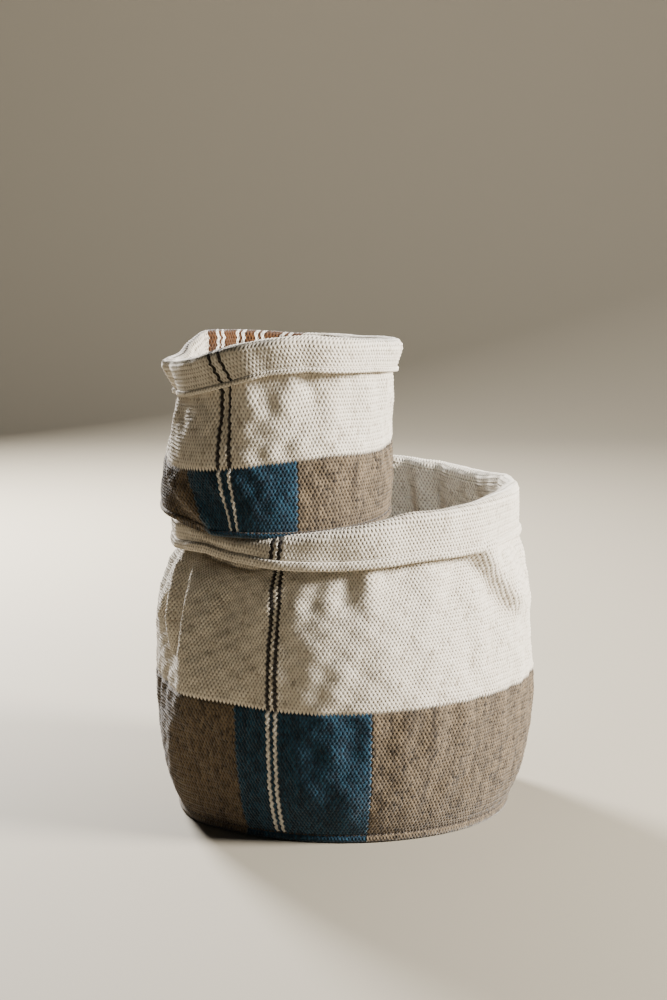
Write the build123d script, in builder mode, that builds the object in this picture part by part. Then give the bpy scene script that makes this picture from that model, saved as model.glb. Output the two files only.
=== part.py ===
"""A pair of handwoven storage baskets, the small one standing on the rim of the large one.

Units are millimetres and +Z is up.  The origin is on the floor under the centre of the large
basket, and the front of the pair faces -Y.  An azimuth is measured about a basket's own axis,
from its front towards +X.  Each basket is one layer of thick cloth round a flat base, with the
top turned outwards into a cuff.  Its colour blocks and stripes are yarns that take the place of
the cream ones, so each is its own solid through the whole cloth.
"""

from build123d import *
from math import cos, degrees, pi, radians, sin
import os

os.makedirs("parts", exist_ok=True)

# Cloth and sewing, alike on both baskets
cloth = 5.0  # thickness of the woven cloth
stripe_proud = 0.4  # how far stripe yarns stand out of each face of the cloth
seam_proud = 1.0  # how far the side seam stands out of each face of the cloth
thread_height = 1.6  # height of a line of stitches
thread_sunk = 0.8  # how far a line of stitches is pulled into the cloth
cuff_clearance = 0.5  # least gap between the cuff and the wall behind it
side_seam_width = 9.0
outline_points = 9  # points that carry a wall's curve in each zone
foot_power = 2.3  # power of the curve from the foot out to the bulge, where 2 is an ellipse

# Large basket
big = {
    "height": 307.0,  # floor to the top of the rolled rim
    "foot_radius": 145.0,
    "bulge_radius": 178.0,
    "bulge_height": 120.0,
    "rim_radius": 158.0,  # outside of the wall where the roll begins
    "roll_thickness": 15.0,  # wall, gap and cuff together
    "base_seam_height": 7.0,
    "base_seam_proud": 2.0,
    "band_top": 125.0,  # top of the blue and brown blocks
    "cuff_height": 54.0,
    "hem_height": 8.5,
    "hem_proud": 1.2,
    "blue_azimuths": (-34.0, 9.0),
    "stripe_azimuths": (-22.8, -20.1),
    "cuff_stripe_azimuths": (-24.2, -21.8),
    "stripe_width": 2.8,
    "rust_azimuths": (168.0, 226.0),
    "rust_drop": 92.0,  # rim to the lowest row of the rust block, inside the basket
    "rust_pair_azimuths": (176.0, 191.0, 202.7, 218.5),
    "rust_pair_spacing": 4.4,
    "side_seam_azimuth": 245.0,
}

# Small basket
small = {
    "height": 160.0,
    "foot_radius": 102.0,
    "bulge_radius": 107.0,
    "bulge_height": 24.0,
    "rim_radius": 98.0,
    "roll_thickness": 15.0,
    "base_seam_height": 6.0,
    "base_seam_proud": 1.5,
    "band_top": 62.0,
    "cuff_height": 33.0,
    "hem_height": 5.0,
    "hem_proud": 1.0,
    "blue_azimuths": (-48.0, 10.0),
    "stripe_azimuths": (-29.0, -23.6),
    "cuff_stripe_azimuths": (-36.5, -30.0),
    "stripe_width": 2.8,
    "rust_azimuths": (168.0, 226.0),
    "rust_drop": 72.0,
    "rust_pair_azimuths": (176.0, 191.0, 202.7, 218.5),
    "rust_pair_spacing": 4.4,
    "side_seam_azimuth": 245.0,
}

# Where the small basket stands, and how far it leans towards the front
small_x = -61.0
small_y = -48.0
seat_drop = 23.0  # from the top of the large basket's rim down to the small one's base
small_lean = 4.0
seat_gap = 0.5  # between the small basket's base and the rim pressed flat under it
seat_margin = 6.0  # how far the pressed part of the rim reaches past the small basket
seat_flare = 35.0  # slope of the pressed part's ends, from the small basket's axis

big_place = Plane.XY
small_place = Plane(
    origin=(small_x, small_y, big["height"] - seat_drop),
    x_dir=(1, 0, 0),
    z_dir=(0, -sin(radians(small_lean)), cos(radians(small_lean))),
)


def axis_of(place):
    return Axis(place.origin, place.z_dir)


def radial_plane(place, azimuth):
    """Plane through the basket's axis, with local x pointing outwards and local y up the axis."""
    turn = radians(azimuth)
    outwards = place.x_dir * sin(turn) - place.y_dir * cos(turn)
    return Plane(origin=place.origin, x_dir=outwards, z_dir=outwards.cross(place.z_dir))


def roll_start(size):
    """Height where the wall ends and its turn into the cuff begins."""
    return size["height"] - size["roll_thickness"] / 2


def wall_radius(size, height):
    """Outside radius of the wall: a superellipse up to the bulge, an eased cosine above it."""
    bulge = size["bulge_radius"]
    middle = size["bulge_height"]
    if height < middle:
        share = (middle - height) / middle
        reach = (1 - share**foot_power) ** (1 / foot_power)
        return size["foot_radius"] + (bulge - size["foot_radius"]) * reach
    share = ((height - middle) / (roll_start(size) - middle)) ** 1.2
    return bulge - (bulge - size["rim_radius"]) * (1 - cos(pi * share)) / 2


def wall_band(size, low, high, proud=0.0):
    """The wall's section between two heights, standing out of both faces by proud."""
    heights = [low + (high - low) * i / (outline_points - 1) for i in range(outline_points)]
    outside = [(wall_radius(size, z) + proud, z) for z in heights]
    inside = [(wall_radius(size, z) - cloth - proud, z) for z in heights]
    with BuildSketch() as band:
        with BuildLine():
            Spline(*outside)
            Line(outside[-1], inside[-1])
            Spline(*reversed(inside))
            Line(inside[0], outside[0])
        make_face()
    return band.sketch


def cuff_foot(size):
    """Height of the cuff's lowest edge."""
    return size["height"] - size["cuff_height"]


def cuff_inner_radius(size):
    """Inside radius of the cuff's lower edge, clear of the wall and side seam behind it."""
    wall = wall_radius(size, cuff_foot(size)) + seam_proud
    return max(cuff_top_radius(size), wall + cuff_clearance + size["hem_proud"])


def cuff_top_radius(size):
    """Inside radius of the cuff where it leaves the roll."""
    return size["rim_radius"] + size["roll_thickness"] - 2 * cloth


def cuff_thread_top(size):
    return cuff_foot(size) + size["hem_height"] + thread_height


def cuff_section(size, proud=0.0):
    """The section of the rolled rim and the cuff outside it, down to the line of stitches."""
    top = roll_start(size)
    low = cuff_thread_top(size)
    wall_in = size["rim_radius"] - cloth - proud
    wall_out = size["rim_radius"] + proud
    flap_in = cuff_top_radius(size) - proud
    flap_out = cuff_top_radius(size) + cloth + proud
    low_in = cuff_inner_radius(size) - proud
    low_out = cuff_inner_radius(size) + cloth + proud
    over = size["height"] + proud
    under = top + (flap_in - wall_out) / 2
    middle = (wall_in + flap_out) / 2
    with BuildSketch() as hook:
        with BuildLine():
            Line((wall_out, top), (wall_in, top))
            ThreePointArc((wall_in, top), (middle, over), (flap_out, top))
            Line((flap_out, top), (low_out, low))
            Line((low_out, low), (low_in, low))
            Line((low_in, low), (flap_in, top))
            ThreePointArc((flap_in, top), (middle, under), (wall_out, top))
        make_face()
    return hook.sketch


def cuff_ring(size, low, high, proud):
    """The section of a plain band of the cuff, thicker than the cloth by proud on each face."""
    middle = cuff_inner_radius(size) + cloth / 2
    with BuildSketch() as band:
        with Locations((middle, (low + high) / 2)):
            Rectangle(cloth + 2 * proud, high - low)
    return band.sketch


def stripe_span(size, azimuth, radius):
    """Azimuths of the two sides of one stripe."""
    half = degrees(size["stripe_width"] / radius) / 2
    return azimuth - half, azimuth + half


def stripe_spans(size, azimuths):
    return [stripe_span(size, azimuth, size["bulge_radius"]) for azimuth in azimuths]


def rust_stripe_azimuths(size):
    """Azimuths of every white line in the rust block, in pairs."""
    half = size["rust_pair_spacing"] / 2
    pairs = size["rust_pair_azimuths"]
    return [azimuth + side for azimuth in pairs for side in (-half, half)]


def side_seam_span(size):
    half = degrees(side_seam_width / size["bulge_radius"]) / 2
    return size["side_seam_azimuth"] - half, size["side_seam_azimuth"] + half


def gaps_between(start, stop, taken):
    """Spans of cloth left between start and stop once the taken spans are out."""
    edges = [start] + [edge for span in sorted(taken) for edge in span] + [stop]
    return list(zip(edges[0::2], edges[1::2]))


def turned(place, section, spans=((0.0, 360.0),)):
    """The section turned about the basket's axis through each span of azimuths."""
    with BuildPart() as sectors:
        for start, stop in spans:
            with BuildSketch(radial_plane(place, start)):
                add(section)
            revolve(axis=axis_of(place), revolution_arc=stop - start)
    return sectors.part


# The hollow that the small basket presses into the large one's rim
with BuildPart() as pressed_hollow:
    with BuildSketch(small_place.offset(-seat_gap)):
        Circle(small["bulge_radius"] + seat_margin)
    extrude(amount=big["cuff_height"], taper=-seat_flare)


def write(piece, label):
    piece.part.label = label
    export_step(piece.part, f"parts/{label}.step")


def make_base(name, size, place):
    """The flat base, the round seam that joins the wall to it, and the seam's stitches.

    The seam is the wall's own cloth turned under, so it is blue below the blue block.
    """
    seam_top = size["base_seam_height"]
    thread_top = seam_top + thread_height
    seam_outer = wall_radius(size, seam_top) + size["base_seam_proud"]
    seam_inner = wall_radius(size, seam_top) - cloth - size["base_seam_proud"]

    with BuildPart() as base_disc:
        with BuildSketch(place):
            Circle(seam_inner)
        extrude(amount=cloth)
    write(base_disc, f"{name}_base_disc")

    with BuildSketch() as seam_section:
        with Locations(((seam_inner + seam_outer) / 2, seam_top / 2)):
            Rectangle(seam_outer - seam_inner, seam_top)
    blue_start, blue_stop = size["blue_azimuths"]
    seams = {"base_seam": (blue_stop, blue_start + 360), "base_seam_blue": (blue_start, blue_stop)}
    for label, span in seams.items():
        with BuildPart() as base_seam:
            add(turned(place, seam_section.sketch, [span]))
            rims = base_seam.edges().filter_by(GeomType.CIRCLE).sort_by(SortBy.RADIUS)
            fillet(rims[-2:], seam_top / 3)
        write(base_seam, f"{name}_{label}")

    with BuildPart() as base_seam_thread:
        add(turned(place, wall_band(size, seam_top, thread_top, -thread_sunk)))
    write(base_seam_thread, f"{name}_base_seam_thread")


def make_band(name, size, place):
    """The blue and brown blocks round the foot, with the white stripes in the blue one."""
    low = size["base_seam_height"] + thread_height
    high = size["band_top"]
    blue_start, blue_stop = size["blue_azimuths"]
    stripes = stripe_spans(size, size["stripe_azimuths"])
    seam = side_seam_span(size)

    with BuildPart() as blue_block:
        spans = gaps_between(blue_start, blue_stop, stripes)
        add(turned(place, wall_band(size, low, high), spans))
    write(blue_block, f"{name}_blue_block")

    with BuildPart() as white_stripes:
        add(turned(place, wall_band(size, low, high, stripe_proud), stripes))
    write(white_stripes, f"{name}_white_stripes")

    with BuildPart() as brown_block:
        spans = gaps_between(blue_stop, blue_start + 360, [seam])
        add(turned(place, wall_band(size, low, high), spans))
    write(brown_block, f"{name}_brown_block")


def make_wall(name, size, place, hollow):
    """The cream cloth above the blocks, its black stripes and its rust block."""
    low = size["band_top"]
    high = roll_start(size)
    rust_low = size["height"] - size["rust_drop"]
    rust_start, rust_stop = size["rust_azimuths"]
    stripes = stripe_spans(size, size["stripe_azimuths"])
    seam = side_seam_span(size)

    with BuildPart() as cream_wall:
        spans = gaps_between(rust_stop, rust_start + 360, [seam, *lift(stripes, 360)])
        add(turned(place, wall_band(size, low, high), spans))
        if hollow:
            add(hollow.part, mode=Mode.SUBTRACT)
    write(cream_wall, f"{name}_cream_wall")

    with BuildPart() as cream_panel:
        add(turned(place, wall_band(size, low, rust_low), [(rust_start, rust_stop)]))
    write(cream_panel, f"{name}_cream_panel_under_rust")

    with BuildPart() as black_stripes:
        add(turned(place, wall_band(size, low, high, stripe_proud), stripes))
        if hollow:
            add(hollow.part, mode=Mode.SUBTRACT)
    write(black_stripes, f"{name}_black_stripes")

    rust_stripes = stripe_spans(size, rust_stripe_azimuths(size))
    with BuildPart() as rust_block:
        spans = gaps_between(rust_start, rust_stop, rust_stripes)
        add(turned(place, wall_band(size, rust_low, high), spans))
        add(turned(place, cuff_section(size), spans))
    write(rust_block, f"{name}_rust_block")

    with BuildPart() as rust_block_stripes:
        add(turned(place, wall_band(size, rust_low, high, stripe_proud), rust_stripes))
        add(turned(place, cuff_section(size, stripe_proud), rust_stripes))
    write(rust_block_stripes, f"{name}_rust_block_stripes")


def make_side_seam(name, size, place):
    """The joined ends of the cloth, from the base seam up to the rolled rim."""
    low = size["base_seam_height"] + thread_height
    with BuildPart() as side_seam:
        for foot, head in ((low, size["band_top"]), (size["band_top"], roll_start(size))):
            section = wall_band(size, foot, head, seam_proud)
            add(turned(place, section, [side_seam_span(size)]))
    write(side_seam, f"{name}_side_seam")


def make_cuff(name, size, place, hollow):
    """The rolled rim with its cuff, its black stripes, its hem and the hem's stitches."""
    foot = cuff_foot(size)
    hem_top = foot + size["hem_height"]
    rust_start, rust_stop = size["rust_azimuths"]
    stripes = stripe_spans(size, size["cuff_stripe_azimuths"])

    with BuildPart() as cuff:
        spans = gaps_between(rust_stop, rust_start + 360, lift(stripes, 360))
        add(turned(place, cuff_section(size), spans))
        if hollow:
            add(hollow.part, mode=Mode.SUBTRACT)
    write(cuff, f"{name}_cuff")

    with BuildPart() as cuff_stripes:
        add(turned(place, cuff_section(size, stripe_proud), stripes))
        if hollow:
            add(hollow.part, mode=Mode.SUBTRACT)
    write(cuff_stripes, f"{name}_cuff_black_stripes")

    with BuildPart() as cuff_hem:
        add(turned(place, cuff_ring(size, foot, hem_top, size["hem_proud"])))
        rims = cuff_hem.edges().filter_by(GeomType.CIRCLE).sort_by(SortBy.RADIUS)
        fillet(rims[-2:], size["hem_height"] / 4)
    write(cuff_hem, f"{name}_cuff_hem")

    with BuildPart() as cuff_thread:
        add(turned(place, cuff_ring(size, hem_top, hem_top + thread_height, -thread_sunk)))
    write(cuff_thread, f"{name}_cuff_hem_thread")


def lift(spans, turn):
    """The same spans of azimuth, counted on by a turn."""
    return [(start + turn, stop + turn) for start, stop in spans]


def make_basket(name, size, place, hollow=None):
    make_base(name, size, place)
    make_band(name, size, place)
    make_wall(name, size, place, hollow)
    make_side_seam(name, size, place)
    make_cuff(name, size, place, hollow)


make_basket("big", big, big_place, pressed_hollow)
make_basket("small", small, small_place)
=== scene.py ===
import bpy
import numpy as np
from math import cos, pi, radians, sin
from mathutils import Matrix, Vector


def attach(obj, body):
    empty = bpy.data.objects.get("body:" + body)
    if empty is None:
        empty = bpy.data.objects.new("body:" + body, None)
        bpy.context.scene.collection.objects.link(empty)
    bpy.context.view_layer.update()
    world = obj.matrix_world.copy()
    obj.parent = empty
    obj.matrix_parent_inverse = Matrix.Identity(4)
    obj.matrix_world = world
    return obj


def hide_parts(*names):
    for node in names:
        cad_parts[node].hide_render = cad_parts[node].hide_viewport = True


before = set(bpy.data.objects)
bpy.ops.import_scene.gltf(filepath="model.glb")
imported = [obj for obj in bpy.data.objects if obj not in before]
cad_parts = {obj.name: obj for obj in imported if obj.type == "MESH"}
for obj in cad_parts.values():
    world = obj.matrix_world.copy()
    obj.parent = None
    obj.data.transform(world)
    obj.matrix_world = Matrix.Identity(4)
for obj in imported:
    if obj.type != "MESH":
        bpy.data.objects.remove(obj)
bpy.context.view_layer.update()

# Cloth: weft-faced plain weave.  Wefts run up the wall, warps run round the basket.
cloth = {
    "thickness": 0.0046,
    "beadPitch": 0.00355,  # from one weft yarn to the next along a warp
    "rowPitch": 0.0031,  # from one warp to the next
    "relief": 0.00058,  # how far a bead of weft stands above the cloth's mean face
    "footPower": 2.3,  # power of the wall's curve from the foot out to the bulge
    "wander": 0.09,  # how far a yarn strays from its line, in yarns
    "cuffGap": 0.0012,  # between the cuff's lower edge and the wall behind it
    "seamThickness": 0.0078,  # the base seam, wall and base sewn together
    "seamSwell": 0.0007,  # how far the side seam stands out of each face
    "baseThickness": 0.0046,
    "stitchPitch": 0.0065,
    "stitchRise": 0.0014,
}

# Every height is above the basket's own base, every azimuth in degrees from its front
# towards its right.  A line is a few chosen (azimuth, value) pairs, joined smoothly all round.
bigBasket = {
    "name": "big",
    "body": "big_basket",
    "origin": (0.0, 0.0, 0.0),
    "lean": 0.0,
    "height": 0.307,
    "footRadius": 0.145,
    "bulgeRadius": 0.178,
    "bulgeHeight": 0.120,
    "rimRadius": 0.158,
    "roll": 0.0145,
    "seamHeight": 0.0075,
    "bandTop": 0.125,
    "cuffHeight": 0.051,
    "hemHeight": 0.0085,
    "hemThickness": 0.0082,
    "yarns": 316,
    "blueYarns": (-29, 6),
    "stripeYarns": (-20, -18),
    "rustYarns": (148, 198),
    "rustPairs": (155, 168, 178, 192),
    "rustDrop": 0.092,
    "seamYarn": 215,
    "rimLine": ((-140, 0.303), (-112, 0.296), (-90, 0.280), (-60, 0.283), (-35, 0.277),
                (-20, 0.280), (-7, 0.286), (4, 0.294), (14, 0.300), (37, 0.301), (55, 0.305),
                (80, 0.308), (100, 0.306), (120, 0.301), (140, 0.304), (165, 0.307)),
    "hemLine": ((-110, 0.256), (-69, 0.254), (-50, 0.257), (-32, 0.255), (-20, 0.2505),
                (-4, 0.2505), (10, 0.254), (26, 0.257), (70, 0.259), (120, 0.255), (180, 0.257)),
    "bandLine": ((-120, 0.0), (-51, 0.003), (-18, -0.003), (0, -0.002), (30, 0.001), (60, 0.0)),
    "rimBulge": ((-140, 0.0), (-95, -0.007), (-60, 0.001), (-38, 0.003), (-25, 0.006),
                 (-15, 0.006), (-5, 0.004), (8, 0.002), (60, -0.001), (90, -0.004), (125, -0.004),
                 (170, 0.0)),
    "rimShare": 3.0,
    "neckTurn": 0.0,
    "footBulge": ((-110, 0.0), (-85, -0.001), (-60, 0.002), (-35, -0.002), (-20, -0.004),
                  (20, -0.004), (50, -0.001), (90, -0.002), (130, 0.0), (180, 0.0)),
    "cuffTurn": 1.2,
    "cuffSlant": -0.4,
    "cuffTuck": ((-140, 0.0), (-90, 0.004), (-50, 0.0), (50, 0.0), (90, 0.002), (140, 0.0)),
    "footTurn": 0.0,
    "footLift": ((0, 0.0), (180, 0.0)),
}
smallBasket = {
    "name": "small",
    "body": "small_basket",
    "origin": (-0.061, -0.048, 0.284),
    "lean": 4.0,
    "height": 0.160,
    "footRadius": 0.102,
    "bulgeRadius": 0.107,
    "bulgeHeight": 0.024,
    "rimRadius": 0.099,
    "roll": 0.0145,
    "seamHeight": 0.0055,
    "bandTop": 0.064,
    "cuffHeight": 0.031,
    "hemHeight": 0.0045,
    "hemThickness": 0.0068,
    "yarns": 190,
    "blueYarns": (-25, 5),
    "stripeYarns": (-15, -12),
    "rustYarns": (89, 119),
    "rustPairs": (93, 101, 107, 115),
    "rustDrop": 0.072,
    "seamYarn": 129,
    "rimLine": ((-104, 0.142), (-90, 0.141), (-62, 0.149), (-41, 0.157), (-29, 0.164),
                (-18, 0.171), (-6, 0.176), (8, 0.180), (20, 0.180), (38, 0.176), (67, 0.168),
                (90, 0.162), (130, 0.153), (174, 0.149), (-155, 0.154), (-132, 0.158),
                (-118, 0.152)),
    "hemLine": ((-109, 0.108), (-80, 0.112), (-52, 0.119), (-31, 0.131), (-15, 0.140),
                (-1, 0.1465), (20, 0.149), (59, 0.142), (90, 0.134), (150, 0.120), (-150, 0.119)),
    "bandLine": ((-110, -0.012), (-58, -0.012), (-29, -0.006), (-6, 0.0005), (10, 0.004),
                 (30, 0.007), (61, 0.002), (120, 0.0), (180, -0.004)),
    "rimBulge": ((-150, -0.004), (-125, -0.010), (-93, -0.006), (-75, -0.009), (-57, -0.010),
                 (-40, -0.007), (-20, -0.002), (0, -0.001), (50, 0.002), (88, 0.005),
                 (125, -0.001), (180, -0.002)),
    "rimShare": 1.6,
    "neckTurn": -2.6,
    "footBulge": ((-110, 0.0), (-75, 0.0), (-50, -0.003), (-25, 0.0), (30, 0.0), (70, -0.002),
                  (95, -0.003), (120, -0.001), (180, 0.0)),
    "cuffTurn": -5.2,
    "cuffSlant": 7.0,
    "cuffTuck": ((-130, 0.0), (-93, 0.012), (-60, 0.002), (40, 0.0), (92, 0.007), (140, 0.0)),
    "footTurn": 12.0,
    "footLift": ((-150, 0.0), (-115, 0.005), (-90, 0.0065), (-68, 0.004), (-42, 0.0), (100, 0.0)),
}


def lineValue(pairs, azimuth, spread=7.0):
    # the pairs joined by straight lines round the circle, then averaged over nearby azimuths
    known = np.array(pairs, float)
    shifts = np.linspace(-spread, spread, 7)
    weights = np.cos(shifts / spread * pi / 2.3)
    total = sum(w * np.interp(azimuth + s, known[:, 0], known[:, 1], period=360)
                for w, s in zip(weights, shifts))
    return total / weights.sum()


def bump(azimuth, centre, width):
    # a bell over azimuth: exp(-(difference / width)^2), with the difference wrapped to +-180
    apart = (azimuth - centre + 180) % 360 - 180
    return np.exp(-(apart / width) ** 2)


def rise(value, low, high):
    # 0 below low, 1 above high, and 3x^2 - 2x^3 between them
    x = np.clip((value - low) / (high - low), 0, 1)
    return x * x * (3 - 2 * x)


def softNoise(seed, azimuth, height, waves, tall, count=14):
    # a sum of cosines with whole numbers of waves round the basket and random slopes up it
    random = np.random.default_rng(seed)
    total = 0
    for i in range(count):
        around = random.integers(waves[0], waves[1] + 1)
        upward = random.normal(0, 2 * pi / tall)
        phase = random.uniform(0, 2 * pi)
        total = total + np.cos(around * np.radians(azimuth) + upward * height + phase)
    return total / np.sqrt(count / 2)


def wallRadius(basket, z):
    # middle of the cloth: a superellipse up to the bulge, an eased cosine above it
    bulge, middle = basket["bulgeRadius"], basket["bulgeHeight"]
    rollStart = basket["height"] - basket["roll"] / 2
    below = np.clip((middle - z) / middle, 0, 1)
    above = np.clip((z - middle) / (rollStart - middle), 0, 1) ** 1.2
    power = cloth["footPower"]
    foot, rim = basket["footRadius"], basket["rimRadius"]
    low = foot + (bulge - foot) * (1 - below ** power) ** (1 / power)
    high = bulge - (bulge - rim) * (1 - np.cos(pi * above)) / 2
    return np.where(z < middle, low, high) - cloth["thickness"] / 2


def ridge(azimuth, centre, steep, gentle):
    # a fold with a steep left side and a gentle right side, widths in degrees
    apart = (azimuth - centre + 180) % 360 - 180
    return np.exp(-(apart / np.where(apart < 0, steep, gentle)) ** 2)


def bigFolds(azimuth, z):
    # pleats at the left that run into a corner lower down
    heights = np.array([0.0, 0.02, 0.06, 0.09, 0.11, 0.13, 0.175, 0.25, 0.31])
    corner = np.interp(z, heights, [-56, -57, -59, -56, -50, -48.5, -52, -54.5, -56])
    steep = np.interp(z, heights, [9, 9, 10, 12, 14, 12, 2.4, 1.8, 1.6])
    tall = np.interp(z, heights, [0, 0.003, 0.007, 0.009, 0.012, 0.013, 0.0120, 0.0110, 0.002])
    push = tall * ridge(azimuth, corner, steep, 9)
    upper = rise(z, 0.150, 0.195) * (1 - 0.7 * rise(z, 0.262, 0.285))
    push = push + 0.0085 * ridge(azimuth, -63.5 - (z - 0.2) * 30, 1.8, 3.2) * upper
    push = push + 0.0040 * ridge(azimuth, -74 - (z - 0.2) * 20, 2.0, 5.0) * upper
    full = rise(z, 0.150, 0.200) * (1 - rise(z, 0.245, 0.270))
    push = push + bump(azimuth, -88, 14) * (0.0045 * full - 0.0035)
    push = push + bump(azimuth, 92, 20) * (0.0040 * full - 0.0015)
    # dents under the cuff and a slanting crease at the right
    dents = rise(z, 0.205, 0.240) * (1 - rise(z, 0.262, 0.285))
    push = push - 0.0034 * bump(azimuth, 2, 5) * dents - 0.0026 * bump(azimuth, 15, 4) * dents
    push = push + 0.0020 * bump(azimuth, 8, 3) * dents
    crease = 52 + (0.252 - z) * 260
    slope = rise(z, 0.180, 0.215) * (1 - rise(z, 0.265, 0.285))
    push = push + 0.0120 * ridge(azimuth, crease, 4.5, 14) * slope
    push = push - 0.0045 * bump(azimuth, crease - 9, 6) * slope
    # a soft corner that runs down and to the right from the stripes
    front = np.interp(z, [0.0, 0.06, 0.13, 0.25], [-9, -9, -5, -15])
    reached = rise(z, 0.01, 0.06) * (1 - rise(z, 0.25, 0.28))
    push = push + 0.0045 * ridge(azimuth, front, 12, 28) * reached
    # soft waves, deeper near the rim and at the back
    gather = rise(z, 0.170, 0.245)
    push = push + 0.0017 * softNoise(11, azimuth, z, (9, 20), 0.30) * gather
    backFolds = rise(z, 0.16, 0.24) * (bump(azimuth, 148, 26) + 0.6 * bump(azimuth, -150, 30))
    backFolds = backFolds * (1 - 0.75 * rise(z, 0.270, 0.30))
    push = push + 0.0042 * np.cos(np.radians(azimuth) * 29 + z * 12) * backFolds
    push = push + 0.0016 * softNoise(12, azimuth, z, (2, 6), 0.25) * rise(z, 0.01, 0.08)
    return push + 0.0006 * softNoise(13, azimuth, z, (16, 40), 0.05) * rise(z, 0.01, 0.05)


def smallFolds(azimuth, z):
    # a crease at the lower left, with the side behind it pushed in
    crease = -40 - z * 480
    low = 1 - rise(z, 0.045, 0.070)
    push = 0.0045 * ridge(azimuth, crease, 3, 12) * low
    push = push - 0.0050 * bump(azimuth, crease - 15, 9) * low
    # the left side pulled in below the cuff, and hollows beside the stripes
    pulled = rise(z, 0.045, 0.105)
    push = push - 0.0105 * bump(azimuth, -90, 26) * pulled
    hollow = rise(z, 0.075, 0.115)
    push = push - 0.0035 * bump(azimuth, -24, 6) * hollow
    push = push + 0.0022 * bump(azimuth, -36, 7) * hollow
    push = push - 0.0020 * bump(azimuth, 16, 8) * hollow
    push = push + 0.0009 * softNoise(21, azimuth, z, (8, 18), 0.20) * hollow
    push = push + 0.0012 * softNoise(22, azimuth, z, (2, 5), 0.15) * rise(z, 0.01, 0.05)
    push = push + 0.0025 * bump(azimuth, 92, 25) * hollow
    return push + 0.0004 * softNoise(23, azimuth, z, (14, 34), 0.04) * rise(z, 0.01, 0.04)


def placeBasket(basket, radius, azimuth, z):
    # cylindrical to the shared frame: turned about its axis, leaned to the front, then moved
    turn = np.radians(azimuth)
    lean = radians(basket["lean"])
    x = radius * np.sin(turn)
    y = -radius * np.cos(turn)
    points = np.stack([x, y * cos(lean) - z * sin(lean), y * sin(lean) + z * cos(lean)], -1)
    return points + np.array(basket["origin"])


def footLift(basket, radius, azimuth):
    # how far the base is bent up: the line's value at the foot, falling with the cube inwards
    share = np.minimum(radius / basket["footRadius"], 1) ** 3
    return lineValue(basket["footLift"], azimuth) * share


def seatHeight(azimuth, radius):
    # height of the small basket's base plane at the rim, easing upwards outside its foot
    turn = np.radians(azimuth)
    ox, oy, oz = smallBasket["origin"]
    x = radius * np.sin(turn) - ox
    y = -radius * np.cos(turn) - oy
    away = np.hypot(x, y)
    plane = oz + y * np.tan(radians(smallBasket["lean"]))
    plane = plane + footLift(smallBasket, away, np.degrees(np.arctan2(x, -y)))
    return plane + 0.4 * np.maximum(0, away - smallBasket["footRadius"] - 0.003)


def sectionLengths(basket):
    # arc length of the wall from the base seam to the roll, of the roll, and of the cuff
    rollStart = basket["height"] - basket["roll"] / 2
    z = np.linspace(basket["seamHeight"], rollStart, 600)
    r = wallRadius(basket, z)
    t = np.concatenate([[0], np.cumsum(np.hypot(np.diff(z), np.diff(r)))])
    turnRadius = (basket["roll"] - cloth["thickness"]) / 2
    flap = basket["cuffHeight"] - basket["roll"] / 2 - basket["hemHeight"]
    return z, t, turnRadius, flap


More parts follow.
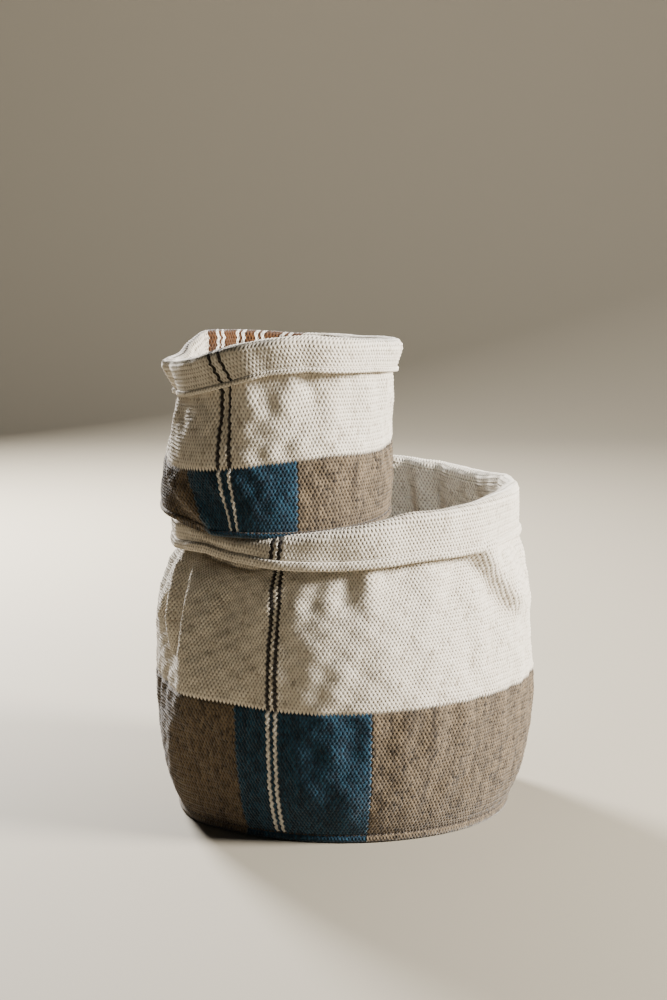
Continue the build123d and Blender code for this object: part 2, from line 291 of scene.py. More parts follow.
def clothMiddle(basket, azimuth, t):
    # the cloth's middle surface: t runs up the wall, over the roll and down the cuff
    z0, t0, turnRadius, flap = sectionLengths(basket)
    wallLength, rollLength = t0[-1], pi * turnRadius
    rollStart = z0[-1]
    onWall = np.clip(t, 0, wallLength)
    onRoll = np.clip((t - wallLength) / rollLength, 0, 1) * pi
    onFlap = np.clip((t - wallLength - rollLength) / flap, 0, None)

    rim = lineValue(basket["rimLine"], azimuth)
    rimBulge = lineValue(basket["rimBulge"], azimuth)
    if basket["name"] == "big":
        outside = basket["rimRadius"] + basket["roll"] + rimBulge
        rim = np.minimum(rim, seatHeight(azimuth, outside) - 0.0012)
    drop = basket["height"] - rim
    hem = lineValue(basket["hemLine"], azimuth) + basket["hemHeight"]
    top = rollStart - drop
    # where the rim is pressed low the cuff is longer than the room below the roll, so the rest
    # of it goes over the roll and down inside: reach is the cuff's length, room what hangs
    room = np.maximum(top - hem, 0.006)
    reach = np.maximum(flap, room)

    z = np.interp(onWall, t0, z0)
    radius = wallRadius(basket, z)
    folds = bigFolds(azimuth, z) if basket["name"] == "big" else smallFolds(azimuth, z)
    upper = np.clip((z - basket["bandTop"]) / (rollStart - basket["bandTop"]), 0, 1)
    lower = 1 - rise(z, 0.0, basket["bandTop"])
    bandShare = np.clip(z / basket["bandTop"], 0, 1) * (1 - upper)
    z = z - drop * upper ** 1.5 - (reach - room) * upper ** 6
    z = z + lineValue(basket["bandLine"], azimuth) * bandShare
    z = z + lineValue(basket["footLift"], azimuth) * lower

    # distance up from the hem, then angle on the roll (0 inside, pi outside)
    fromHem = np.where(onFlap > 0, (1 - onFlap) * reach, reach + (pi - onRoll) * turnRadius)
    angle = np.clip(pi - (fromHem - room) / turnRadius, 0, pi)
    hang = np.clip(1 - fromHem / room, 0, None)
    inside = np.clip(fromHem - room - pi * turnRadius, 0, None)
    beyond = t > wallLength
    angle = np.where(beyond, angle, 0)
    hang = np.where(beyond, hang, 0)
    z = np.where(beyond, top - inside + turnRadius * np.sin(angle) - hang * room, z)
    radius = radius + folds * (1 - 0.7 * rise(angle, 0, pi))
    radius = radius + rimBulge * upper ** basket["rimShare"]
    radius = radius + lineValue(basket["footBulge"], azimuth) * lower
    radius = radius + turnRadius * (1 - np.cos(angle))
    radius = radius - 0.4 * (reach - room) * upper ** 6 * (1 - rise(angle, 0, pi))
    flare = wallRadius(basket, np.array(rollStart - flap)) + cloth["thickness"] + cloth["cuffGap"]
    flare = flare - (wallRadius(basket, np.array(rollStart)) + 2 * turnRadius)
    radius = radius + (np.maximum(flare, 0) - lineValue(basket["cuffTuck"], azimuth)) * hang
    wave = softNoise(31 + basket["yarns"], azimuth, hang * flap, (3, 11), 0.12)
    radius = radius + 0.0008 * wave * rise(angle, 0, pi)
    if basket["name"] == "small":
        # the cuff's left corner, pinched to an edge
        radius = radius + 0.0075 * bump(azimuth, -94, 8) * rise(angle, -0.5, 1.5) * beyond
    turned = azimuth + basket["cuffTurn"] * rise(angle, 0.3, pi)
    turned = turned + basket["cuffSlant"] * hang * bump(azimuth, -30, 40)
    turned = turned + basket["neckTurn"] * bump(azimuth, -25, 14) * upper * (1 - rise(angle, 0, pi))
    pull = bump(azimuth, -45, 22) * (1 - rise(z, 0.0, basket["bandTop"]))
    turned = turned + basket["footTurn"] * pull
    return placeBasket(basket, radius, turned, z)


def weaveHeight(u, v):
    # beads of weft in a brick pattern: cos(2 pi u) cos(pi v), u in yarns and v in warps
    return np.cos(2 * pi * u) * np.cos(pi * v)


def weaveCloth(basket):
    # the whole cloth of one basket on its own lattice, with its outer and inner faces
    z0, t0, turnRadius, flap = sectionLengths(basket)
    length = t0[-1] + pi * turnRadius + flap
    rows = int(round(length / cloth["rowPitch"]))
    row = length / rows
    halfRow, halfYarn = np.meshgrid(np.arange(2 * rows + 1), np.arange(2 * basket["yarns"]),
                                    indexing="ij")
    v = halfRow / 2
    u = halfYarn / 2 + 0.25 * (1 - np.cos(pi * v))  # each yarn weaves left and right of its line
    random = np.random.default_rng(basket["yarns"])
    wander = cloth["wander"]
    azimuth = (u + random.uniform(-wander, wander, u.shape)) * 360 / basket["yarns"]
    middle = clothMiddle(basket, azimuth, v * row)
    around = np.roll(middle, -1, 1) - np.roll(middle, 1, 1)
    along = np.gradient(middle, axis=0)
    normal = np.cross(around, along)
    normal /= np.linalg.norm(normal, axis=-1, keepdims=True)
    bead = (weaveHeight(u, v) * random.uniform(0.6, 1.2, u.shape))[..., None]
    outer = middle + normal * (cloth["thickness"] / 2 + cloth["relief"] * bead)
    inner = middle - normal * (cloth["thickness"] / 2 - cloth["relief"] * bead)
    bandEdge = np.interp(basket["bandTop"], z0, t0)
    rustEdge = np.interp(basket["height"] - basket["rustDrop"], z0, t0)
    print(basket["name"], "cloth woven:", rows, "warps,", basket["yarns"], "yarns")
    return {"outer": outer, "inner": inner, "normal": normal, "middle": middle, "row": row,
            "bandRow": int(round(bandEdge / row)), "rustRow": int(round(rustEdge / row)),
            "rollRow": int(round(t0[-1] / row)), "rows": rows}


def quadCorners(rowCount, columnCount, aroundRows=False, aroundColumns=False):
    # the four corners of every quad of a grid, going round each one the same way
    r, c = np.meshgrid(np.arange(rowCount - (not aroundRows)),
                       np.arange(columnCount - (not aroundColumns)), indexing="ij")
    r, c = r.ravel(), c.ravel()
    return np.stack([r, r, r + 1, r + 1], 1), np.stack([c, c + 1, c + 1, c], 1)


def gridEdge(rowCount, columnCount):
    # the outer vertices of a grid in order, once round
    last = (rowCount - 1) * columnCount
    inner = np.arange(1, rowCount) * columnCount
    return np.concatenate([np.arange(columnCount), inner + columnCount - 1,
                           last + np.arange(columnCount - 2, -1, -1), inner[-2::-1]])


def addPiece(name, basket, points, faces, corners, material, flatFaces=0):
    # one mesh object with a UV map in metres of cloth; the last flatFaces are its cut edges
    mesh = bpy.data.meshes.new(name)
    mesh.from_pydata(points.tolist(), [], faces)
    smooth = np.ones(len(faces), bool)
    if flatFaces:
        smooth[-flatFaces:] = False
    mesh.polygons.foreach_set("use_smooth", smooth)
    layer = mesh.uv_layers.new(name="clothUv")
    layer.data.foreach_set("uv", corners.reshape(-1).astype(np.float32))
    mesh.materials.append(material)
    piece = bpy.data.objects.new(name, mesh)
    bpy.context.scene.collection.objects.link(piece)
    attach(piece, basket["body"])
    return piece


def zoneLattice(low, high, left, right, lowTeeth, highTeeth):
    # half rows and half yarns of every vertex of a colour zone.  At a toothed edge the row is a
    # zigzag from warp to warp, because the two colours' beads interlock there
    yarns = np.arange(2 * left - 1, 2 * right + 2)
    rows = np.arange(2 * low, 2 * high + 1)
    if lowTeeth:
        rows = rows[rows >= 2 * low + 3]
    if highTeeth:
        rows = rows[rows <= 2 * high - 1]
    r, k = np.meshgrid(rows, yarns, indexing="ij")

    def zigzag(edge):
        odd = yarns % 2 == 1
        shift = -1 if edge % 2 == 0 else 1
        return np.where(odd, 2 * edge, 2 * edge + 2), np.where(odd, yarns, yarns + shift)

    if lowTeeth:
        edgeRow, edgeYarn = zigzag(low)
        r, k = np.vstack([edgeRow, r]), np.vstack([edgeYarn, k])
    if highTeeth:
        edgeRow, edgeYarn = zigzag(high)
        r, k = np.vstack([r, edgeRow]), np.vstack([k, edgeYarn])
    return r, k


def weavePiece(name, basket, fabric, zones, material, swell=0.0):
    # closed slabs of cloth, one for each zone (low, high, left, right, lowTeeth, highTeeth)
    allPoints, allFaces, allCorners, allEdges, edgeCorners = [], [], [], [], []
    start = 0
    width = cloth["beadPitch"]
    count = 2 * basket["yarns"]
    for low, high, left, right, lowTeeth, highTeeth in zones:
        r, k = zoneLattice(low, high, left, right, lowTeeth, highTeeth)
        nr, nc = r.shape
        outer = fabric["outer"][r, k % count]
        inner = fabric["inner"][r, k % count]
        if swell:
            across = np.linspace(-1, 1, nc)
            lift = swell * np.sqrt(np.clip(1 - across ** 4, 0, 1))[None, :, None]
            outer = outer + fabric["normal"][r, k % count] * lift
            inner = inner - fabric["normal"][r, k % count] * lift
        u = k / 2 + 0.25 * (1 - np.cos(pi * r / 2))
        uv = np.stack([u * width, r / 2 * cloth["rowPitch"]], -1)
        uvInner = uv + np.array([width / 2, 0])
        rows, cols = quadCorners(nr, nc)
        index = rows * nc + cols
        half = nr * nc
        allPoints += [outer.reshape(-1, 3), inner.reshape(-1, 3)]
        allFaces += [start + index, start + half + index[:, ::-1]]
        allCorners += [uv[rows, cols], uvInner[rows[:, ::-1], cols[:, ::-1]]]
        loop = gridEdge(nr, nc)
        after = np.roll(loop, -1)
        wall = np.stack([loop, loop + half, after + half, after], 1)
        allEdges.append(start + wall)
        flat = uv.reshape(-1, 2)
        edgeCorners.append(np.stack([flat[loop], flat[loop], flat[after], flat[after]], 1))
        start += 2 * half
    faces = np.concatenate(allFaces + allEdges).tolist()
    corners = np.concatenate(allCorners + edgeCorners)
    edges = sum(len(e) for e in allEdges)
    return addPiece(name, basket, np.concatenate(allPoints), faces, corners, material, edges)


def ringPiece(name, basket, path, profile, relief, material, length, columns=None):
    # a closed profile carried round the basket: centre + outward a(s) + down b(s), with the
    # weave's beads standing out along the profile's own normal.  Columns are the half yarns it
    # covers, closed at its two ends; without them it goes all the way round
    around = columns is None
    first = 0 if around else columns[0]
    centre, outward, down = path if around else [line[columns % len(line)] for line in path]
    count = centre.shape[0]
    steps = len(profile)
    a, b = profile[:, 0], profile[:, 1]
    tangent = np.roll(profile, -1, 0) - np.roll(profile, 1, 0)
    tangent /= np.linalg.norm(tangent, axis=1, keepdims=True)
    out, fall = tangent[:, 1], -tangent[:, 0]
    s = np.concatenate([[0], np.cumsum(np.linalg.norm(np.diff(profile, axis=0), axis=1))])
    v = (s / s[-1] * np.round(length / cloth["rowPitch"]) * (steps - 1) / steps)[:, None]
    u = (first + np.arange(count))[None, :] / 2
    lift = relief * weaveHeight(u, v)
    x = a[:, None] + out[:, None] * lift
    y = b[:, None] + fall[:, None] * lift
    points = centre[None] + outward[None] * x[..., None] + down[None] * y[..., None]
    rows, cols = quadCorners(steps, count, True, around)
    faces = ((rows % steps) * count + cols % count).tolist()
    vFull = np.append(v[:, 0], v[-1, 0] + (v[-1, 0] - v[-2, 0]))
    across = (first + cols) / 2 * cloth["beadPitch"]
    corners = np.stack([across, vFull[rows] * cloth["rowPitch"]], -1).reshape(-1, 2)
    if not around:
        ends = np.arange(steps) * count
        faces += [ends[::-1].tolist(), (ends + count - 1).tolist()]
        corners = np.concatenate([corners, profile[::-1], profile])
    return addPiece(name, basket, points.reshape(-1, 3), faces, corners, material,
                    0 if around else 2)


def roundedBox(width, height, steps, sharp=3.2):
    # superellipse |x/w|^n + |y/h|^n = 1, from the outer top edge down and round
    angle = pi / 2 - np.arange(steps) * 2 * pi / steps
    x = np.sign(np.cos(angle)) * np.abs(np.cos(angle)) ** (2 / sharp) * width / 2
    y = -np.sign(np.sin(angle)) * np.abs(np.sin(angle)) ** (2 / sharp) * height / 2
    return np.stack([x, y], 1)


def stitchRing(name, basket, path, outward, down, material, proud, radius):
    # a sewing thread round the basket: it rises over each stitch and dips between stitches
    count = path.shape[0]
    lengthAlong = np.linalg.norm(np.roll(path, -1, 0) - path, axis=1).sum()
    stitches = int(round(lengthAlong / cloth["stitchPitch"]))
    phase = np.arange(count) / count * stitches * pi
    dip = proud + cloth["stitchRise"] * np.abs(np.sin(phase)) ** 0.6
    centre = path + outward * dip[:, None]
    angle = np.arange(8) * pi / 4
    x = np.cos(angle)[:, None, None] * radius
    y = np.sin(angle)[:, None, None] * radius
    points = centre[None] + outward[None] * x - down[None] * y
    rows, cols = quadCorners(8, count, True, True)
    index = (rows % 8) * count + cols % count
    corners = np.stack([cols / 2 * cloth["beadPitch"], rows * 0.0007], -1)
    return addPiece(name, basket, points.reshape(-1, 3), index[:, ::-1].tolist(),
                    corners[:, ::-1], material)


def baseDisc(name, basket, radius, thickness, material):
    # a round slab on a square grid: x = a sqrt(1 - b^2/2), y = b sqrt(1 - a^2/2)
    steps = 96
    a, b = np.meshgrid(np.linspace(-1, 1, steps), np.linspace(-1, 1, steps), indexing="ij")
    x = radius * a * np.sqrt(1 - b * b / 2)
    y = radius * b * np.sqrt(1 - a * a / 2)
    edge = 1 - (x * x + y * y) / radius ** 2
    wave = np.cos(x * 38 + 1) * np.cos(y * 31) + 0.5 * np.cos(x * 71 - y * 55)
    top = thickness + 0.0010 * wave * np.clip(edge * 3, 0, 1) + 0.0006 * np.clip(edge * 4, 0, 1)
    bottom = 0.0006 * np.clip(edge * 6, 0, 1) * (1 + 0.5 * wave)
    polar, turn = np.hypot(x, y), np.degrees(np.arctan2(x, -y))
    bent = footLift(basket, polar, turn)
    upper = placeBasket(basket, polar, turn, top + bent).reshape(-1, 3)
    under = placeBasket(basket, polar, turn, bottom + bent).reshape(-1, 3)
    rows, cols = quadCorners(steps, steps)
    index = rows * steps + cols
    uv = np.stack([x, y], -1)
    loop = gridEdge(steps, steps)
    after = np.roll(loop, -1)
    half = steps * steps
    sides = np.stack([loop, after, after + half, loop + half], 1)
    flat = uv.reshape(-1, 2)
    faces = np.concatenate([index[:, ::-1], half + index, sides]).tolist()
    corners = np.concatenate([uv[rows[:, ::-1], cols[:, ::-1]], uv[rows, cols],
                              np.stack([flat[loop], flat[after], flat[after], flat[loop]], 1)])
    return addPiece(name, basket, np.concatenate([upper, under]), faces, corners, material,
                    len(sides))


def calc(tree, operation, a, b=None, c=None, clamp=False):
    node = tree.nodes.new("ShaderNodeMath")
    node.operation = operation
    node.use_clamp = clamp
    for socket, value in zip(node.inputs, (a, b, c)):
        if value is None:
            continue
        if isinstance(value, (int, float)):
            socket.default_value = value
        else:
            tree.links.new(value, socket)
    return node.outputs[0]


def mixColor(tree, factor, a, b, blend="MIX"):
    node = tree.nodes.new("ShaderNodeMix")
    node.data_type = "RGBA"
    node.blend_type = blend
    for socket, value in ((node.inputs[0], factor), (node.inputs[6], a), (node.inputs[7], b)):
        if isinstance(value, (int, float, tuple)):
            socket.default_value = value
        else:
            tree.links.new(value, socket)
    return node.outputs[2]


def weaveGroup():
    # weft-faced weave from the cloth's UV: yarn beads, painted shade in the gaps between them,
    # twist, tint of each bead
    group = bpy.data.node_groups.new("Weave", "ShaderNodeTree")
    face = group.interface
    face.new_socket("UV", in_out="INPUT", socket_type="NodeSocketVector")
    # the third colour is the painted shade laid in the gaps between beads and also the flecks'
    # colour; its depth setting says how strongly that painted shade is laid on
    for name, value in (("Yarn", (0.6, 0.55, 0.46, 1)), ("Yarn 2", (0.5, 0.45, 0.37, 1)),
                        ("Shade And Fleck", (0.2, 0.17, 0.13, 1))):
        socket = face.new_socket(name, in_out="INPUT", socket_type="NodeSocketColor")
        socket.default_value = value
    for name, value in (("Heather", 0.5), ("Painted Shade Depth", 0.6), ("Streak", 0.4), ("Fleck", 0.3)):
        socket = face.new_socket(name, in_out="INPUT", socket_type="NodeSocketFloat")
        socket.default_value = value
    face.new_socket("Color", in_out="OUTPUT", socket_type="NodeSocketColor")
    face.new_socket("Height", in_out="OUTPUT", socket_type="NodeSocketFloat")
    face.new_socket("Roughness", in_out="OUTPUT", socket_type="NodeSocketFloat")
    enter = group.nodes.new("NodeGroupInput")
    leave = group.nodes.new("NodeGroupOutput")
    split = group.nodes.new("ShaderNodeSeparateXYZ")
    group.links.new(enter.outputs["UV"], split.inputs[0])
    u = calc(group, "DIVIDE", split.outputs[0], cloth["beadPitch"])
    v = calc(group, "DIVIDE", split.outputs[1], cloth["rowPitch"])
    # bead height, 0 in the gaps and 1 on the crowns
    across = calc(group, "COSINE", calc(group, "MULTIPLY", u, 2 * pi))
    up = calc(group, "COSINE", calc(group, "MULTIPLY", v, pi))
    bead = calc(group, "MULTIPLY_ADD", calc(group, "MULTIPLY", across, up), 0.5, 0.5)
    crown = calc(group, "POWER", bead, 0.55)
    # one random number for each bead, from the diamond cell that it lies in
    halfV = calc(group, "MULTIPLY", v, 0.5)
    cellA = calc(group, "ROUND", calc(group, "ADD", u, halfV))
    cellB = calc(group, "ROUND", calc(group, "SUBTRACT", u, halfV))
    cell = group.nodes.new("ShaderNodeCombineXYZ")
    group.links.new(cellA, cell.inputs[0])
    group.links.new(cellB, cell.inputs[1])
    each = group.nodes.new("ShaderNodeTexWhiteNoise")
    each.noise_dimensions = "2D"
    group.links.new(cell.outputs[0], each.inputs["Vector"])
    # one bead in twenty-five is a brown fleck of husk, in the same colour as the painted gap shade
    fleck = calc(group, "MULTIPLY", calc(group, "GREATER_THAN", each.outputs[0], 0.96),
                 enter.outputs["Fleck"])
    # long streaks along the wefts
    stretch = group.nodes.new("ShaderNodeCombineXYZ")
    group.links.new(calc(group, "MULTIPLY", u, 0.55), stretch.inputs[0])
    group.links.new(calc(group, "MULTIPLY", v, 0.035), stretch.inputs[1])
    streak = group.nodes.new("ShaderNodeTexNoise")
    streak.inputs["Scale"].default_value = 1.0
    streak.inputs["Detail"].default_value = 3.0
    group.links.new(stretch.outputs[0], streak.inputs["Vector"])
    # twist of the yarn: fine slanting ridges on each bead, and loose fibres
    slant = calc(group, "ADD", calc(group, "MULTIPLY", u, 2 * pi * 3.0),
                 calc(group, "MULTIPLY", v, 2 * pi * 1.5))
    twist = calc(group, "SINE", slant)
    fuzz = group.nodes.new("ShaderNodeTexNoise")
    fuzz.inputs["Scale"].default_value = 2600.0
    fuzz.inputs["Detail"].default_value = 2.0
    group.links.new(enter.outputs["UV"], fuzz.inputs["Vector"])
    # colour: the yarn's tint, then painted shade darkening the gaps between beads, and the flecks
    streakOff = calc(group, "MULTIPLY_ADD", streak.outputs[0], 2.6, -0.8, clamp=True)
    mixed = calc(group, "MULTIPLY", each.outputs[0], enter.outputs["Heather"])
    along = calc(group, "MULTIPLY", streakOff, enter.outputs["Streak"])
    tint = calc(group, "ADD", mixed, along, clamp=True)
    yarn = mixColor(group, tint, enter.outputs["Yarn"], enter.outputs["Yarn 2"])
    # painted shade: the further a point lies from a bead's crown, the more it takes the gap shade
    # colour
    betweenBeadsShade = calc(group, "SUBTRACT", 1.0, calc(group, "MULTIPLY", crown, 1.35, clamp=True))
    paintedShadeAndFleckMix = calc(group, "MULTIPLY_ADD", betweenBeadsShade, enter.outputs["Painted Shade Depth"], fleck, clamp=True)
    color = mixColor(group, paintedShadeAndFleckMix, yarn, enter.outputs["Shade And Fleck"])
    fuzzShade = calc(group, "MULTIPLY_ADD", fuzz.outputs[0], 0.28, 0.86)
    grey = group.nodes.new("ShaderNodeCombineColor")
    for i in range(3):
        group.links.new(fuzzShade, grey.inputs[i])
    color = mixColor(group, 1.0, color, grey.outputs[0], "MULTIPLY")
    # height and roughness
    fine = calc(group, "MULTIPLY_ADD", twist, 0.055, calc(group, "MULTIPLY", fuzz.outputs[0], 0.16))
    height = calc(group, "ADD", crown, fine)
    rough = calc(group, "MULTIPLY_ADD", fuzz.outputs[0], 0.16, 0.80)
    group.links.new(color, leave.inputs["Color"])
    group.links.new(height, leave.inputs["Height"])
    group.links.new(rough, leave.inputs["Roughness"])
    return group


# for each yarn, the gap colour is painted shade between the beads and also the flecks' colour, and
# its depth says how strongly that painted shade is laid on
yarnColors = {
    "cream_cloth": dict(yarn=(0.76, 0.685, 0.56), second=(0.58, 0.495, 0.375),
                        gap=(0.15, 0.11, 0.07), heather=0.45, paintedShadeDepth=1.0, streak=0.30,
                        fleck=0.30),
    "blue_cloth": dict(yarn=(0.012, 0.062, 0.104), second=(0.003, 0.014, 0.026),
                       gap=(0.001, 0.003, 0.006), heather=0.70, paintedShadeDepth=1.0, streak=0.50,
                       fleck=0.0),
    "brown_cloth": dict(yarn=(0.195, 0.139, 0.080), second=(0.036, 0.025, 0.015),
                        gap=(0.010, 0.007, 0.004), heather=0.55, paintedShadeDepth=1.0, streak=0.50,
                        fleck=0.35),
    "rust_cloth": dict(yarn=(0.105, 0.038, 0.006), second=(0.050, 0.019, 0.004),
                       gap=(0.035, 0.014, 0.006), heather=0.55, paintedShadeDepth=1.0, streak=0.4,
                       fleck=0.2),
    "black_yarn": dict(yarn=(0.030, 0.023, 0.018), second=(0.015, 0.012, 0.010),
                       gap=(0.008, 0.007, 0.006), heather=0.5, paintedShadeDepth=0.5, streak=0.2, fleck=0.0),
    "white_yarn": dict(yarn=(0.80, 0.75, 0.66), second=(0.62, 0.56, 0.47),
                       gap=(0.30, 0.25, 0.19), heather=0.5, paintedShadeDepth=0.5, streak=0.2, fleck=0.0),
    "cream_thread": dict(yarn=(0.66, 0.60, 0.50), second=(0.52, 0.46, 0.37),
                         gap=(0.30, 0.25, 0.19), heather=0.5, paintedShadeDepth=0.5, streak=0.2, fleck=0.0),
    "brown_thread": dict(yarn=(0.055, 0.040, 0.028), second=(0.030, 0.022, 0.016),
                         gap=(0.012, 0.009, 0.007), heather=0.5, paintedShadeDepth=0.5, streak=0.2, fleck=0.0),
}


finish = {
    "bumpStrength": 0.9,
    "bumpDistance": 0.0013,
    "sheen": 0.25,
    "sheenRoughness": 0.45,
    "specular": 0.25,
}


def weaveMaterial(slot, group):
    values = yarnColors[slot]
    material = bpy.data.materials.new(slot)
    material.use_nodes = True
    tree = material.node_tree
    shader = tree.nodes["Principled BSDF"]
    place = tree.nodes.new("ShaderNodeUVMap")
    place.uv_map = "clothUv"
    weave = tree.nodes.new("ShaderNodeGroup")
    weave.node_tree = group
    tree.links.new(place.outputs[0], weave.inputs["UV"])
    weave.inputs["Yarn"].default_value = (*values["yarn"], 1)
    weave.inputs["Yarn 2"].default_value = (*values["second"], 1)
    # painted shade colour for the gaps between beads, also used for the flecks
    weave.inputs["Shade And Fleck"].default_value = (*values["gap"], 1)
    weave.inputs["Heather"].default_value = values["heather"]
    weave.inputs["Painted Shade Depth"].default_value = values["paintedShadeDepth"]
    weave.inputs["Streak"].default_value = values["streak"]
    weave.inputs["Fleck"].default_value = values["fleck"]
    relief = tree.nodes.new("ShaderNodeBump")
    relief.inputs["Strength"].default_value = finish["bumpStrength"]
    relief.inputs["Distance"].default_value = finish["bumpDistance"]
    tree.links.new(weave.outputs["Height"], relief.inputs["Height"])
    tree.links.new(relief.outputs[0], shader.inputs["Normal"])
    tree.links.new(weave.outputs["Color"], shader.inputs["Base Color"])
    tree.links.new(weave.outputs["Roughness"], shader.inputs["Roughness"])
    shader.inputs["Sheen Weight"].default_value = finish["sheen"]
    shader.inputs["Sheen Roughness"].default_value = finish["sheenRoughness"]
    shader.inputs["Specular IOR Level"].default_value = finish["specular"]
    return material


weave = weaveGroup()
materials = {slot: weaveMaterial(slot, weave) for slot in yarnColors}
print("materials ready")


def finishPiece(node):
    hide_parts(node)


def panels(low, high, spans, lowTeeth=False, highTeeth=False):
    # one zone of cloth between two warps for each span of yarns
    return [(low, high, left, right, lowTeeth, highTeeth) for left, right in spans]


def makeCloth(basket, fabric, label, slot, node, zones, swell=0.0):
    piece = weavePiece(basket["name"] + label, basket, fabric, zones, materials[slot], swell)
    finishPiece(basket["name"] + node)
    return piece


def stripeSpans(basket):
    return [(yarn, yarn) for yarn in basket["stripeYarns"]]


def seamSpan(basket):
    return basket["seamYarn"] - 1, basket["seamYarn"] + 1


def makeBlocks(basket, fabric):
    # the lower band: a blue block with two white lines, and brown all the rest of the way round
    band, yarns = fabric["bandRow"], basket["yarns"]
    first, second = basket["stripeYarns"]
    left, right = basket["blueYarns"]
    seamLeft, seamRight = seamSpan(basket)

    spans = [(left, first - 1), (first + 1, second - 1), (second + 1, right)]
    zones = panels(0, band, spans, highTeeth=True)
    piece = makeCloth(basket, fabric, "BlueBlock", "blue_cloth", "_blue_block", zones)

    zones = panels(0, band, stripeSpans(basket), highTeeth=True)
    makeCloth(basket, fabric, "WhiteStripes", "white_yarn", "_white_stripes", zones)

    spans = [(right + 1, seamLeft - 1), (seamRight + 1, yarns + left - 1)]
    zones = panels(0, band, spans, highTeeth=True)
    piece = makeCloth(basket, fabric, "BrownBlock", "brown_cloth", "_brown_block", zones)


def makeWall(basket, fabric):
    # the cream cloth above the band, in two pieces, with its side seam and black lines
    band, roll, rust = fabric["bandRow"], fabric["rollRow"], fabric["rustRow"]
    yarns = basket["yarns"]
    first, second = basket["stripeYarns"]
    rustLeft, rustRight = basket["rustYarns"]
    seamLeft, seamRight = seamSpan(basket)
    middle = rustLeft - int(yarns * 0.22)

    zones = panels(0, roll, [(seamLeft, seamRight)])
    makeCloth(basket, fabric, "SideSeam", "cream_cloth", "_side_seam", zones, cloth["seamSwell"])

    zones = panels(band, roll, [(second + 1, middle)], lowTeeth=True)
    piece = makeCloth(basket, fabric, "CreamWallRight", "cream_cloth", "_cream_wall", zones)

    spans = [(middle + 1, rustLeft - 1), (rustRight + 1, seamLeft - 1),
             (seamRight + 1, yarns + first - 1), (first + 1 + yarns, second - 1 + yarns)]
    zones = panels(band, roll, spans, lowTeeth=True)
    piece = makeCloth(basket, fabric, "CreamWallLeft", "cream_cloth", "_cream_wall", zones)

    zones = panels(band, rust, [(rustLeft, rustRight)], True, True)
    piece = makeCloth(basket, fabric, "CreamPanel", "cream_cloth", "_cream_panel_under_rust",
                      zones)

    zones = panels(band, roll, stripeSpans(basket), lowTeeth=True)
    makeCloth(basket, fabric, "BlackStripes", "black_yarn", "_black_stripes", zones)


def makeRust(basket, fabric):
    # the rust block with its pairs of white lines, up the wall, over the roll and down the cuff
    rust, rows = fabric["rustRow"], fabric["rows"]
    left, right = basket["rustYarns"]
    whiteYarns = sorted(yarn + side for yarn in basket["rustPairs"] for side in (-1, 1))
    edges = [left - 1] + whiteYarns + [right + 1]

    spans = [(a + 1, b - 1) for a, b in zip(edges[:-1], edges[1:])]
    zones = panels(rust, rows, spans, lowTeeth=True)
    piece = makeCloth(basket, fabric, "RustBlock", "rust_cloth", "_rust_block", zones)

    zones = panels(rust, rows, [(yarn, yarn) for yarn in whiteYarns], lowTeeth=True)
    makeCloth(basket, fabric, "RustBlockStripes", "white_yarn", "_rust_block_stripes", zones)


def makeCuff(basket, fabric):
    # the rolled rim and the cream cuff, with the black lines that cross it
    roll, rows, yarns = fabric["rollRow"], fabric["rows"], basket["yarns"]
    first, second = basket["stripeYarns"]
    rustLeft, rustRight = basket["rustYarns"]

    spans = [(second + 1, rustLeft - 1), (rustRight + 1, yarns + first - 1),
             (first + 1 + yarns, second - 1 + yarns)]
    zones = panels(roll, rows, spans)
    piece = makeCloth(basket, fabric, "Cuff", "cream_cloth", "_cuff", zones)

    zones = panels(roll, rows, stripeSpans(basket))
    makeCloth(basket, fabric, "CuffBlackStripes", "black_yarn", "_cuff_black_stripes", zones)


def basketAxis(basket):
    top = placeBasket(basket, np.array(0.0), np.array(0.0), np.array(1.0))
    return top - np.array(basket["origin"])


def girthOf(thickness, height):
    # length round a rounded box, about 0.86 of the plain box's
    return 2 * (thickness + height) * 0.86


def makeHem(basket, fabric):
    # a rounded box along the cuff's lower edge, with its line of stitches above it
    name, thickness, height = basket["name"], basket["hemThickness"], basket["hemHeight"]
    lowEdge, outward = fabric["middle"][-1], fabric["normal"][-1]
    down = np.broadcast_to(-basketAxis(basket), lowEdge.shape)
    centre = lowEdge + down * (height / 2 - 0.0004)
    centre = centre - outward * (thickness - cloth["thickness"]) * 0.25
    piece = ringPiece(name + "CuffHem", basket, (centre, outward, down),
                      roundedBox(thickness, height, 24), cloth["relief"],
                      materials["cream_cloth"], girthOf(thickness, height))
    finishPiece(name + "_cuff_hem")

    line = lowEdge + down * 0.0004 + outward * (cloth["thickness"] / 2 + 0.0006)
    piece = stitchRing(name + "CuffHemThread", basket, line, outward, down,
                       materials["cream_thread"], -0.0002, 0.0011)
    finishPiece(name + "_cuff_hem_thread")


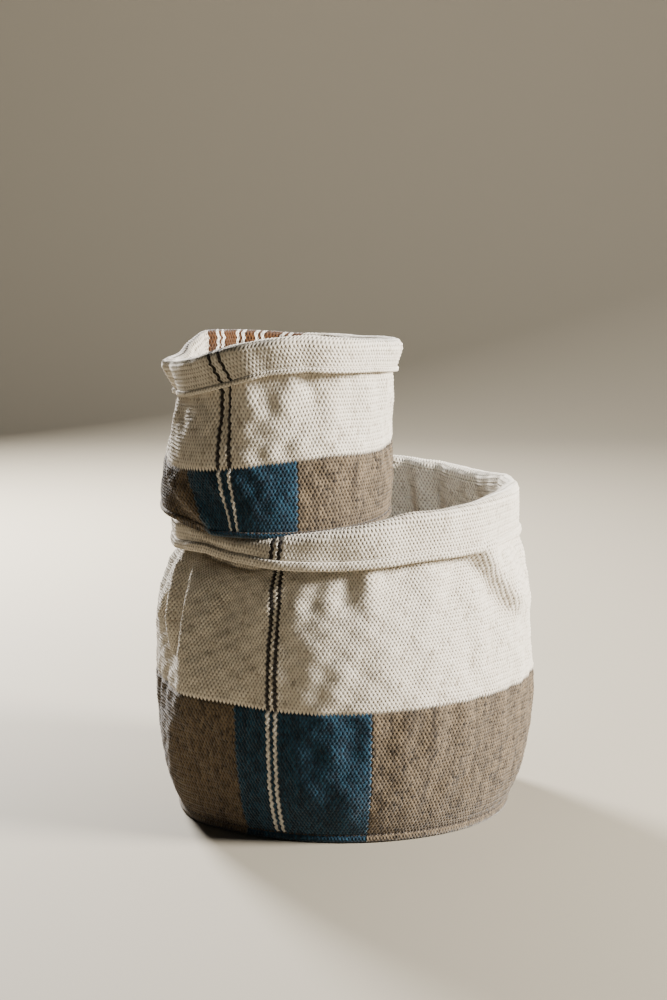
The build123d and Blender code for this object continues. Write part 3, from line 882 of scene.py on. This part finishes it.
def makeBase(basket, fabric):
    # the base seam, blue below the blue block, its stitches, and the flat base inside it
    name, seam, yarns = basket["name"], basket["seamHeight"], basket["yarns"]
    blueLeft, blueRight = basket["blueYarns"]
    foot, outFoot = fabric["middle"][0], fabric["normal"][0]
    axis = basketAxis(basket)
    down = np.broadcast_to(-axis, foot.shape)
    flatOut = outFoot - (outFoot @ axis)[:, None] * axis
    flatOut /= np.linalg.norm(flatOut, axis=1, keepdims=True)
    heightNow = (foot - np.array(basket["origin"])) @ axis
    azimuth = np.arange(len(foot)) / len(foot) * 360
    lowest = cloth["relief"] + lineValue(basket["footLift"], azimuth)
    centre = foot - axis * (heightNow - seam / 2 - lowest)[:, None] + flatOut * 0.0004
    seamBox = roundedBox(cloth["seamThickness"], seam, 20, 2.6)
    blue = np.arange(2 * blueLeft - 1, 2 * blueRight + 2)
    brown = np.arange(2 * blueRight + 1, 2 * (blueLeft + yarns))
    for label, slot, node, columns in (
            ("BaseSeam", "brown_cloth", "_base_seam", brown),
            ("BaseSeamBlue", "blue_cloth", "_base_seam_blue", blue)):
        piece = ringPiece(name + label, basket, (centre, flatOut, down), seamBox, cloth["relief"],
                          materials[slot], girthOf(cloth["seamThickness"], seam), columns)
        finishPiece(name + node)

    line = foot + flatOut * (cloth["thickness"] / 2 + 0.0004)
    piece = stitchRing(name + "BaseSeamThread", basket, line, flatOut, down,
                       materials["brown_thread"], -0.0010, 0.0009)
    finishPiece(name + "_base_seam_thread")

    radius = basket["footRadius"]
    piece = baseDisc(name + "BaseDisc", basket, radius - 0.001, cloth["baseThickness"],
                     materials["brown_cloth"])
    finishPiece(name + "_base_disc")


def makeBasket(basket):
    fabric = weaveCloth(basket)
    makeBlocks(basket, fabric)
    makeWall(basket, fabric)
    makeRust(basket, fabric)
    makeCuff(basket, fabric)
    makeHem(basket, fabric)
    makeBase(basket, fabric)
    print(basket["name"], "basket made")


makeBasket(bigBasket)
makeBasket(smallBasket)

studio = {
    "floorColor": (0.27, 0.235, 0.175),
    "target": (-0.02, 0.0, 0.24),
    # name, place, size, power, colour
    "lights": (("keyLight", (2.20, -0.68, 1.25), 0.8, 330.0, (1.0, 0.985, 0.96)),
               ("rimLight", (-1.0, 1.75, 1.1), 0.5, 260.0, (1.0, 0.99, 0.98)),
               ("fillLight", (-1.2, -2.2, 1.4), 1.6, 0.6, (1.0, 0.86, 0.68))),
    "insidePlace": (0.12, -1.1, 1.35),
    "insideTarget": (0.128, 0.130, 0.25),
    "insidePower": 48.0,
    "worldColor": (0.66, 0.81, 1.0),
    "worldStrength": 0.036,
    "cameraPlace": (-0.0094, -2.2, 0.656),
    "cameraPitch": 9.54,  # degrees below level
    "lens": 85.3,
}


def plainMaterial(name, color, roughness):
    material = bpy.data.materials.new(name)
    material.use_nodes = True
    shader = material.node_tree.nodes["Principled BSDF"]
    shader.inputs["Base Color"].default_value = (*color, 1)
    shader.inputs["Roughness"].default_value = roughness
    return material


def makeFloor():
    # a floor that curves up into a backdrop: flat, a quarter circle, then a wall
    radius, front, back, top = 1.2, -3.2, 2.4, 3.0
    angle = np.linspace(0, pi / 2, 24)
    y = np.concatenate([[front], back + radius * np.sin(angle), [back + radius]])
    z = np.concatenate([[0], radius * (1 - np.cos(angle)), [top]])
    x = np.array([-4.5, 4.5])
    points = np.stack([np.repeat(x, len(y)), np.tile(y, 2), np.tile(z, 2)], 1)
    rows, cols = quadCorners(2, len(y))
    mesh = bpy.data.meshes.new("studioFloor")
    mesh.from_pydata(points.tolist(), [], (rows * len(y) + cols).tolist())
    mesh.polygons.foreach_set("use_smooth", np.ones(len(rows), bool))
    mesh.flip_normals()
    mesh.materials.append(plainMaterial("floorPaint", studio["floorColor"], 0.85))
    floor = bpy.data.objects.new("studioFloor", mesh)
    bpy.context.scene.collection.objects.link(floor)


def addLight(name, data, place, target, power, color):
    data.energy = power
    data.color = color
    light = bpy.data.objects.new(name, data)
    bpy.context.scene.collection.objects.link(light)
    light.location = place
    light.rotation_euler = (Vector(target) - Vector(place)).to_track_quat("-Z", "Y").to_euler()


def makeLights():
    for name, place, size, power, color in studio["lights"]:
        data = bpy.data.lights.new(name, "AREA")
        data.shape = "DISK"
        data.size = size
        addLight(name, data, place, studio["target"], power, color)
    # a weak narrow beam over the right of the rim onto the back of the inside
    data = bpy.data.lights.new("insideLight", "SPOT")
    data.spot_size = radians(9.5)
    data.spot_blend = 0.6
    data.shadow_soft_size = 0.04
    addLight("insideLight", data, studio["insidePlace"], studio["insideTarget"],
             studio["insidePower"], (0.72, 0.86, 1.0))


def makeWorld():
    world = bpy.data.worlds.new("studioWorld")
    world.use_nodes = True
    background = world.node_tree.nodes["Background"]
    background.inputs[0].default_value = (*studio["worldColor"], 1)
    background.inputs[1].default_value = studio["worldStrength"]
    bpy.context.scene.world = world


def makeCamera():
    data = bpy.data.cameras.new("studioCamera")
    data.sensor_width = 36.0
    data.lens = studio["lens"]
    camera = bpy.data.objects.new("studioCamera", data)
    camera.location = studio["cameraPlace"]
    camera.rotation_euler = (radians(90 - studio["cameraPitch"]), 0, 0)
    bpy.context.scene.collection.objects.link(camera)
    bpy.context.scene.camera = camera


makeFloor()
makeLights()
makeWorld()
makeCamera()
print("studio ready")
